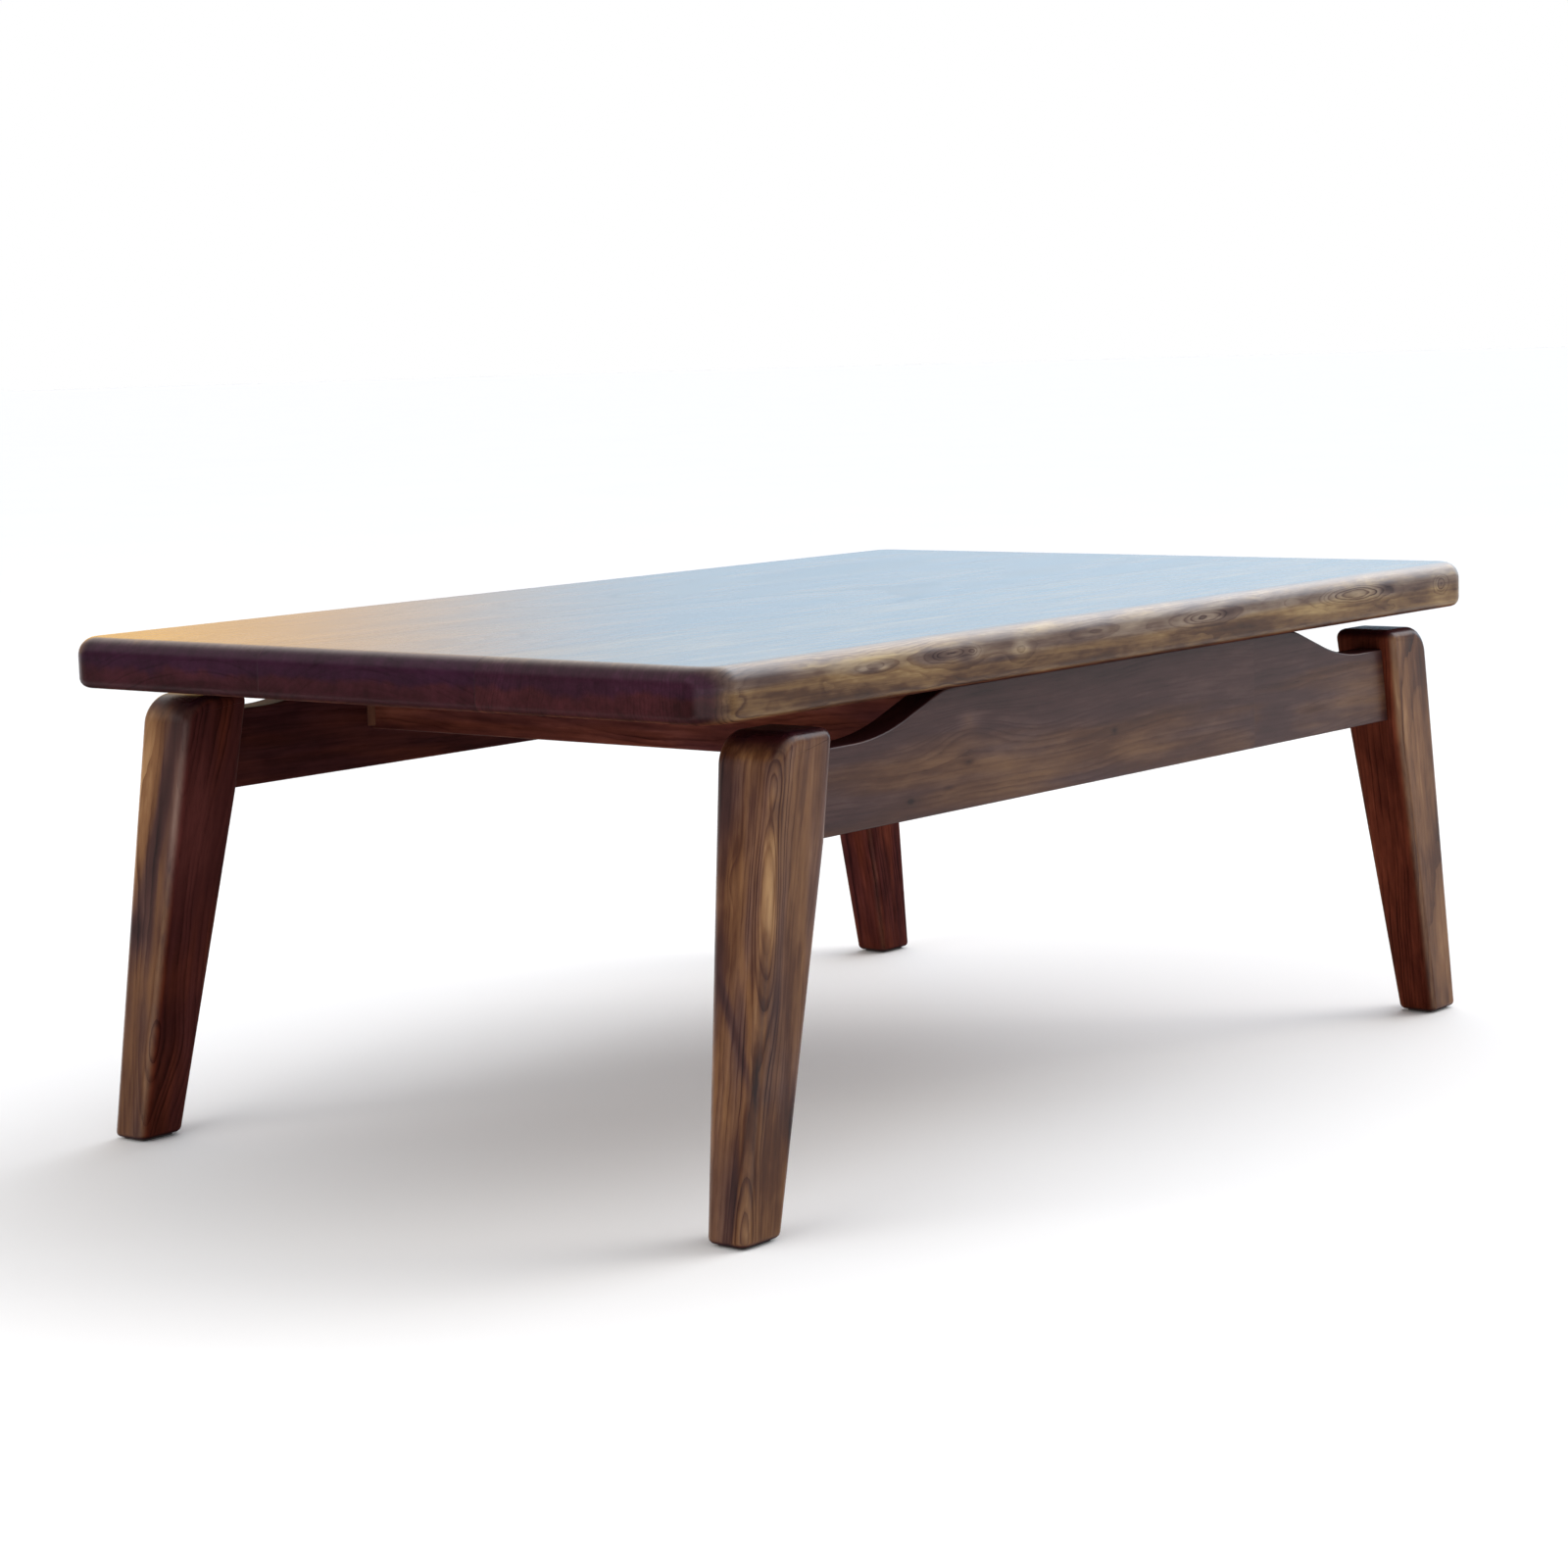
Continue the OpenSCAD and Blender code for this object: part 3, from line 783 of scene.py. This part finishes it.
APRON_LOW, APRON_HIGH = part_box("apron_back")
APRON_END_X = 0.30601
SCOOP_END_X = 0.29846
SCOOP_Z = 0.253
SCOOP_FLAT_X = 0.27296
CREST_X = 0.17996
HOLLOW_R = 0.145
CREST_R = 0.040
EASED_R = 0.0014
EASED_STEPS = 3
SCOOP_STEPS = 26
UPRIGHT_RISE = 0.02


def scoop_height(x):
    """Height of the apron's upper edge at x: hollow arc, straight slope and crest arc."""
    run = SCOOP_FLAT_X - CREST_X
    fall = APRON_HIGH.z - SCOOP_Z
    both = HOLLOW_R + CREST_R
    slope = math.atan2(run, both - fall) - math.acos(both / math.hypot(run, both - fall))
    if x <= CREST_X:
        return APRON_HIGH.z
    if x >= SCOOP_FLAT_X:
        return SCOOP_Z
    if x < CREST_X + CREST_R * math.sin(slope):
        return APRON_HIGH.z - CREST_R + math.sqrt(CREST_R ** 2 - (x - CREST_X) ** 2)
    foot_x = SCOOP_FLAT_X - HOLLOW_R * math.sin(slope)
    if x > foot_x:
        return SCOOP_Z + HOLLOW_R - math.sqrt(HOLLOW_R ** 2 - (SCOOP_FLAT_X - x) ** 2)
    foot_z = SCOOP_Z + HOLLOW_R * (1 - math.cos(slope))
    return foot_z + (foot_x - x) * math.tan(slope)


def make_apron():
    """The back apron."""
    apron = start_block(
        "apron", (-APRON_END_X, APRON_LOW.y, APRON_LOW.z), (APRON_END_X, APRON_HIGH.y, APRON_HIGH.z)
    )
    stations = [CREST_X + (SCOOP_FLAT_X - CREST_X) * i / SCOOP_STEPS for i in range(SCOOP_STEPS + 1)]
    for side in (-1, 1):
        for x in stations:
            cut_across(apron, (side * x, 0, 0), (1, 0, 0))
    for side in (-1, 1):
        slide_points(apron, (side * (SCOOP_END_X - APRON_END_X), 0, SCOOP_Z - APRON_HIGH.z),
                     lambda p: p.z > APRON_HIGH.z - NEAR and side * p.x > APRON_END_X - NEAR)
        for x in stations[1:]:
            slide_points(apron, (0, 0, scoop_height(x) - APRON_HIGH.z),
                         lambda p: p.z > APRON_HIGH.z - NEAR and abs(p.x - side * x) < NEAR)

    def at_long_edge(a, b):
        return abs(a.y - b.y) < NEAR and abs(a.z - b.z) < UPRIGHT_RISE

    round_edges(apron, EASED_R, EASED_STEPS, at_long_edge)
    return apron


apron_pattern = make_apron()
APRON_SEAM_X = 138
FRONT_APRON_ZONES = (
    ((0, -239, 268), (900, 40, 20), -0.05, -0.9),
    ((-60, -239, 222), (190, 40, 16), 0.07, 0.5),
    ((-166, -239, 256), (11, 30, 6), 0.16, 0.8),
    ((-290, -239, 212), (60, 30, 12), -0.04, -0.5),
    ((-167, -239, 231), (4, 30, 1.5), -0.30, 0.2),
    ((-222, -239, 215.5), (3, 30, 1.5), -0.34, 0.0),
    ((-187, -239, 219), (4, 30, 1.2), -0.20, 0.0),
    ((-20, -239, 233), (3, 30, 2.0), -0.24, 0.0),
    ((162, -239, 221), (20, 30, 11), -0.10, -0.7),
    ((210, -239, 222), (14, 30, 2.0), -0.16, 0.3),
    ((205, -239, 243), (50, 30, 9), 0.08, 0.6),
    ((270, -239, 232), (40, 30, 20), 0.08, 0.3),
)
APRON_LOOKS = {
    ("apron_back", 1): dict(tone=-0.06, seed=3.3),
    ("apron_front", -1): dict(
        swellings=(((-166, -239, 248), (38, 30, 12), 11.0),),
        zones=FRONT_APRON_ZONES,
        tone=-0.15,
        gold=-0.25,
        seam_x=APRON_SEAM_X,
        seed=6.8,
    ),
}
for (node, side_y), look in APRON_LOOKS.items():
    apron = mirrored_copy(apron_pattern, "scooped_" + node, 1, side_y)
    smooth_piece(apron)
    apron.data.materials.append(
        stained_ash(
            "ash of the " + node.split("_")[1] + " apron",
            heart=(0, side_y * 150, 420),
            turn=(0.0, 0.008, 0.0),
            ring_width=3.6,
            # The apron's inner face, underside and scoop tops get painted shade and no lacquer.
            shaded=((0, -side_y, 0), (0, 0, -1), (0, 0, 1)),
            tint=(1.0, 0.95, 0.88),
            contrast=0.45,
            mottle=0.6,
            **look,
        )
    )
    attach(apron, "root")
    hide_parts(node)
bpy.data.objects.remove(apron_pattern)


# The cross rails: two ash rails between the aprons, stub-tenoned into them, with counterbored holes from
# below for the screws that hold the top.

RAIL_LOW, RAIL_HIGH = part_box("rail_right")
RAIL_END_Y = APRON_LOW.y
RAIL_MIDDLE_X = (RAIL_LOW.x + RAIL_HIGH.x) / 2
SCREW_YS = (-0.167, 0.0, 0.167)
SINK_R = 0.0055
SINK_DEPTH = 0.018
SHANK_HOLE_R = 0.0021
DRILL_SIDES = 48
LOOKS_UP = 0.9


def pick_upper_end(piece):
    """Opens an upright cylinder in edit mode with only the faces selected that look up."""
    bpy.ops.object.mode_set(mode="EDIT")
    bpy.ops.mesh.select_mode(type="FACE")
    bpy.ops.mesh.select_all(action="DESELECT")
    mesh = bmesh.from_edit_mesh(piece.data)
    for face in mesh.faces:
        if face.normal.z > LOOKS_UP:
            face.select_set(True)
    bmesh.update_edit_mesh(piece.data)


def cut_away(piece, tool, cut_name):
    """Cuts the tool's shape out of the piece, and takes the tool away."""
    select_only(piece)
    cut = piece.modifiers.new(cut_name, "BOOLEAN")
    cut.object = tool
    cut.operation = "DIFFERENCE"
    cut.solver = "EXACT"
    bpy.ops.object.modifier_apply(modifier=cut.name)
    bpy.data.objects.remove(tool)


def make_drill(y):
    """The stepped drill of one screw hole: wide for the head, narrow for the shank."""
    bpy.ops.object.select_all(action="DESELECT")
    bpy.ops.mesh.primitive_cylinder_add(
        vertices=DRILL_SIDES,
        radius=SINK_R,
        depth=2 * SINK_DEPTH,
        location=(RAIL_MIDDLE_X, y, RAIL_LOW.z),
    )
    drill = bpy.context.object
    bpy.ops.object.transform_apply(location=True, rotation=False, scale=False)
    pick_upper_end(drill)
    bpy.ops.mesh.inset(thickness=SINK_R - SHANK_HOLE_R)
    bpy.ops.mesh.extrude_region_move(TRANSFORM_OT_translate={"value": (0, 0, RAIL_HIGH.z - RAIL_LOW.z)})
    bpy.ops.object.mode_set(mode="OBJECT")
    return drill


def make_rail():
    """The right-hand rail."""
    rail = start_block(
        "rail", (RAIL_LOW.x, -RAIL_END_Y, RAIL_LOW.z), (RAIL_HIGH.x, RAIL_END_Y, RAIL_HIGH.z)
    )
    round_edges(rail, EASED_R, EASED_STEPS, lambda a, b: abs(a.y - b.y) > RAIL_END_Y)
    for y in SCREW_YS:
        cut_away(rail, make_drill(y), "counterbore")
    return rail


rail_pattern = make_rail()
for side, node, seed in ((-1, "rail_left", 1.1), (1, "rail_right", 2.9)):
    rail = mirrored_copy(rail_pattern, "cross_" + node, side, 1)
    smooth_piece(rail)
    rail.data.materials.append(
        stained_ash(
            "ash of the " + node.split("_")[1] + " cross rail",
            heart=(side * 60, 0, 160),
            turn=(0.0, 0.0, math.pi / 2),
            shaded=((1, 0, 0), (-1, 0, 0), (0, 0, -1)),
            tone=0.08,
            seed=seed,
        )
    )
    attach(rail, "root")
    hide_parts(node)
bpy.data.objects.remove(rail_pattern)


# The corner beads: slim three-cornered strips of the same ash, glued upright into the corners between
# rails and aprons, on the side of the legs.

BEAD_LOW, BEAD_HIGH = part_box("corner_bead_back_right")
BEAD_EASED_R = 0.0005
BEAD_EASED_STEPS = 2


def make_bead():
    """The bead of the corner at +X and +Y."""
    bead = start_block("bead", BEAD_LOW, BEAD_HIGH)
    bpy.ops.object.mode_set(mode="EDIT")
    bpy.ops.mesh.select_all(action="SELECT")
    bpy.ops.mesh.bisect(
        plane_co=(BEAD_LOW.x, BEAD_LOW.y, 0), plane_no=(1, -1, 0), use_fill=True, clear_outer=True
    )
    bpy.ops.object.mode_set(mode="OBJECT")
    round_edges(bead, BEAD_EASED_R, BEAD_EASED_STEPS, lambda a, b: True)
    return bead


bead_pattern = make_bead()
bead_ash = stained_ash(
    "ash of the corner beads",
    heart=(40, 25, 250),
    turn=(0.0, math.pi / 2, 0.0),
    shaded=((1, 0, 0), (-1, 0, 0), (0, 1, 0), (0, -1, 0)),
    tone=-0.05,
    seed=0.7,
)
for corner, (side_x, side_y) in CORNERS.items():
    node = "corner_bead_" + corner
    bead = mirrored_copy(bead_pattern, "glued_" + node, side_x, side_y)
    smooth_piece(bead)
    bead.data.materials.append(bead_ash)
    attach(bead, "root")
    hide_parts(node)
bpy.data.objects.remove(bead_pattern)


# The screws of the top: six pan-head wood screws of zinc-plated steel with a cross recess, driven up
# through the rails' counterbored holes.

SCREW_LOW, SCREW_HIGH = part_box("top_screws")
SCREW_HEAD_R = 0.004
SCREW_HEAD_RIM = 0.0013
SCREW_RIM_STEPS = 4
SCREW_SIDES = 40
SCREW_SEAT_Z = RAIL_LOW.z + SINK_DEPTH
SHANK_R = 0.002
RECESS_LENGTH = 0.004
RECESS_WIDTH = 0.0012
RECESS_DEPTH = 0.0015
TIP_LENGTH = 0.006
TIP_TAPER = 0.15
SCREW_PLACES = [(side * RAIL_MIDDLE_X, y) for side in (-1, 1) for y in SCREW_YS]
ZINC_DARK = (0.46, 0.47, 0.49)
ZINC_LIGHT = (0.66, 0.66, 0.64)
ZINC_RELIEF = 0.0001


def make_screw():
    """One screw, standing at x = y = 0 with its head down."""
    bpy.ops.object.select_all(action="DESELECT")
    bpy.ops.mesh.primitive_cylinder_add(
        vertices=SCREW_SIDES,
        radius=SCREW_HEAD_R,
        depth=SCREW_SEAT_Z - SCREW_LOW.z,
        location=(0, 0, (SCREW_SEAT_Z + SCREW_LOW.z) / 2),
    )
    screw = bpy.context.object
    screw.name = "screw"
    bpy.ops.object.transform_apply(location=True, rotation=False, scale=False)
    pick_upper_end(screw)
    bpy.ops.mesh.inset(thickness=SCREW_HEAD_R - SHANK_R)
    bpy.ops.mesh.extrude_region_move(
        TRANSFORM_OT_translate={"value": (0, 0, SCREW_HIGH.z - TIP_LENGTH - SCREW_SEAT_Z)}
    )
    bpy.ops.mesh.extrude_region_move(TRANSFORM_OT_translate={"value": (0, 0, TIP_LENGTH)})
    bpy.ops.transform.resize(value=(TIP_TAPER, TIP_TAPER, 1.0))
    bpy.ops.object.mode_set(mode="OBJECT")
    round_edges(
        screw, SCREW_HEAD_RIM, SCREW_RIM_STEPS, lambda a, b: max(a.z, b.z) < SCREW_LOW.z + NEAR
    )
    for length, width in ((RECESS_LENGTH, RECESS_WIDTH), (RECESS_WIDTH, RECESS_LENGTH)):
        punch = start_block(
            "punch",
            (-length / 2, -width / 2, SCREW_LOW.z - RECESS_DEPTH),
            (length / 2, width / 2, SCREW_LOW.z + RECESS_DEPTH),
        )
        cut_away(screw, punch, "cross recess")
    return screw


def zinc_plate():
    """Bright zinc plating, a little dulled in patches."""
    zinc = Shader(bpy.data.materials.new("zinc-plated steel"))
    dull = zinc.noise(zinc.millimetres(), (1.1, 1.1, 1.1), 3.0, 0.6)
    zinc.varying(
        Base_Color=zinc.mix(dull, ZINC_DARK, ZINC_LIGHT),
        Roughness=0.24 + dull * 0.22,
        Normal=zinc.bump(dull, ZINC_RELIEF, 0.3),
    )
    zinc.fixed(Metallic=1.0)
    return zinc.owner


screw_pattern = make_screw()
zinc = zinc_plate()
for number, (x, y) in enumerate(SCREW_PLACES, start=1):
    screw = copy_piece(screw_pattern, "top_screw_" + str(number))
    screw.location = (x, y, 0)
    bpy.ops.object.transform_apply(location=True, rotation=False, scale=False)
    smooth_piece(screw)
    screw.data.materials.append(zinc)
    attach(screw, "root")
    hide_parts("top_screws")
bpy.data.objects.remove(screw_pattern)


# The foot pads: four thin brown felt pads, stuck under the feet and worn smooth a little at their rims.

PAD_LOW, PAD_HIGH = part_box("foot_pad_back_right")
PAD_CORNER_R = 0.003
PAD_RIM_R = 0.0004
PAD_CORNER_STEPS = 6
PAD_RIM_STEPS = 2
FELT_DARK = (0.020, 0.014, 0.011)
FELT_LIGHT = (0.085, 0.062, 0.047)
FELT_RELIEF = 0.0004


def brown_felt():
    """Pressed wool felt: matted fibres in mixed browns."""
    felt = Shader(bpy.data.materials.new("brown felt"))
    place = felt.millimetres()
    fibres = felt.noise(place, (1.1, 0.3, 0.4), 5.0, 0.7)
    tufts = felt.noise(place, (4.0, 4.0, 4.0), 3.0, 0.6)
    felt.varying(
        Base_Color=felt.mix(fibres, FELT_DARK, FELT_LIGHT),
        Roughness=0.86 + tufts * 0.12,
        Normal=felt.bump(fibres + tufts * 0.7, FELT_RELIEF),
    )
    felt.fixed(Sheen_Weight=0.35, Sheen_Roughness=0.5)
    return felt.owner


pad_pattern = start_block("pad", PAD_LOW, PAD_HIGH)
round_edges(pad_pattern, PAD_CORNER_R, PAD_CORNER_STEPS, lambda a, b: abs(a.z - b.z) > NEAR)
round_edges(pad_pattern, PAD_RIM_R, PAD_RIM_STEPS, lambda a, b: abs(a.z - b.z) < NEAR)
felt = brown_felt()
for corner, (side_x, side_y) in CORNERS.items():
    node = "foot_pad_" + corner
    pad = mirrored_copy(pad_pattern, "felt_" + node, side_x, side_y)
    smooth_piece(pad)
    pad.data.materials.append(felt)
    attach(pad, "root")
    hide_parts(node)
bpy.data.objects.remove(pad_pattern)


# The studio: a plain pale floor in a bright room with a wide window high on the right and warmer walls at
# the left, which the lacquer mirrors, two softboxes that light the wood without a mirror image in it, and
# the camera where the photograph was taken.

FLOOR_R = 40.0
FLOOR_SIDES = 96
PAPER_DARK = (0.88, 0.88, 0.88)
PAPER_LIGHT = (0.90, 0.90, 0.90)

bpy.context.scene.view_settings.view_transform = "Standard"
bpy.ops.object.select_all(action="DESELECT")
bpy.ops.mesh.primitive_circle_add(
    vertices=FLOOR_SIDES, radius=FLOOR_R, fill_type="NGON", location=(0, 0, 0)
)
floor = bpy.context.object
floor.name = "studio_floor"
paper = Shader(bpy.data.materials.new("pale studio floor"))
speck = paper.noise(paper.millimetres(), (400.0, 400.0, 400.0), 3.0)
paper.varying(Base_Color=paper.mix(speck, PAPER_DARK, PAPER_LIGHT))
paper.fixed(Roughness=1.0, IOR=1.05)
floor.data.materials.append(paper.owner)

ROOM_FRONT = (0.42, 0.43, 0.47)
ROOM_BACK = (0.69, 1.06, 1.36)
ROOM_LEFT = (1.08, 0.74, 0.46)
ROOM_GLOW = (2.5, 1.35, 0.03)
ROOM_OVERHEAD = (0.60, 0.60, 0.60)
ROOM_WINDOW = (4.4, 4.5, 4.7)
BACKDROP = (1.0, 1.0, 1.0)
BACK_WAY = (0.778, 0.628, 0.0)
LEFT_WAY = (-0.628, 0.778, 0.0)
WINDOW_WAY = (0.76, -0.06, 0.62)
WINDOW_SPREAD = (0.50, 0.60, 0.33)
GLOW_WAY = (0.595, 0.80, 0.09)
GLOW_SPREAD = (0.09, 0.09, 0.16)

room = Shader(bpy.data.worlds.new("bright room"), "Background")
looking = room.node("ShaderNodeTexCoord", output="Generated")
to_back = room.dot(looking, BACK_WAY)
to_left = room.dot(looking, LEFT_WAY)
upward = room.dot(looking, (0.0, 0.0, 1.0))
walls = room.mix(room.rise(to_left, 0.02, 0.16), ROOM_BACK, ROOM_LEFT)
walls = room.mix(room.rise(to_back, -0.1, 0.8), ROOM_FRONT, walls)
walls = room.mix(room.rise(upward, 0.10, 0.75), walls, ROOM_OVERHEAD)
walls = room.mix(room.blob(looking, WINDOW_WAY, WINDOW_SPREAD), walls, ROOM_WINDOW)
walls = room.mix(room.blob(looking, GLOW_WAY, GLOW_SPREAD), walls, ROOM_GLOW)
straight_on = room.node("ShaderNodeLightPath", output="Is Camera Ray")
room.varying(Color=room.mix(straight_on, walls, BACKDROP))
bpy.context.scene.world = room.owner


def add_softbox(name, place, aim, size, power, colour):
    """A square area light at a place, aimed at a point, that no lacquer mirrors."""
    lamp = bpy.data.lights.new(name, "AREA")
    lamp.shape = "SQUARE"
    lamp.size = size
    lamp.energy = power
    lamp.color = colour
    box = bpy.data.objects.new(name, lamp)
    bpy.context.scene.collection.objects.link(box)
    box.location = place
    box.rotation_euler = (Vector(aim) - Vector(place)).to_track_quat("-Z", "Y").to_euler()
    box.visible_camera = False
    box.visible_glossy = False


add_softbox(
    "key softbox",
    place=(2.68, -2.12, 1.83),
    aim=(0.0, -0.1, 0.25),
    size=1.8,
    power=36.0,
    colour=(1.0, 0.92, 0.82),
)
add_softbox(
    "fill softbox",
    place=(-2.9, 0.5, 1.1),
    aim=(-0.3, 0.0, 0.15),
    size=2.4,
    power=43.0,
    colour=(1.0, 0.97, 0.94),
)

CAMERA_PLACE = Vector((-1.7576413, -1.3894807, 0.4743528))
CAMERA_YAW = 0.679
CAMERA_PITCH = 0.1282
CAMERA_ROLL = -0.0286
FOCAL_PIXELS = 3611.3
PHOTO_WIDTH = 1600
SENSOR_WIDTH = 36.0

forward = Vector((
    math.cos(CAMERA_PITCH) * math.cos(CAMERA_YAW),
    math.cos(CAMERA_PITCH) * math.sin(CAMERA_YAW),
    -math.sin(CAMERA_PITCH),
))
level_right = forward.cross(Vector((0, 0, 1))).normalized()
level_up = level_right.cross(forward)
camera_right = level_right * math.cos(CAMERA_ROLL) + level_up * math.sin(CAMERA_ROLL)
camera_up = level_up * math.cos(CAMERA_ROLL) - level_right * math.sin(CAMERA_ROLL)
camera_data = bpy.data.cameras.new("photograph camera")
camera_data.sensor_width = SENSOR_WIDTH
camera_data.lens = SENSOR_WIDTH * FOCAL_PIXELS / PHOTO_WIDTH
camera = bpy.data.objects.new("photograph_camera", camera_data)
bpy.context.scene.collection.objects.link(camera)
camera.matrix_world = Matrix.Translation(CAMERA_PLACE) @ Matrix(
    (camera_right, camera_up, -forward)
).transposed().to_4x4()
bpy.context.scene.camera = camera
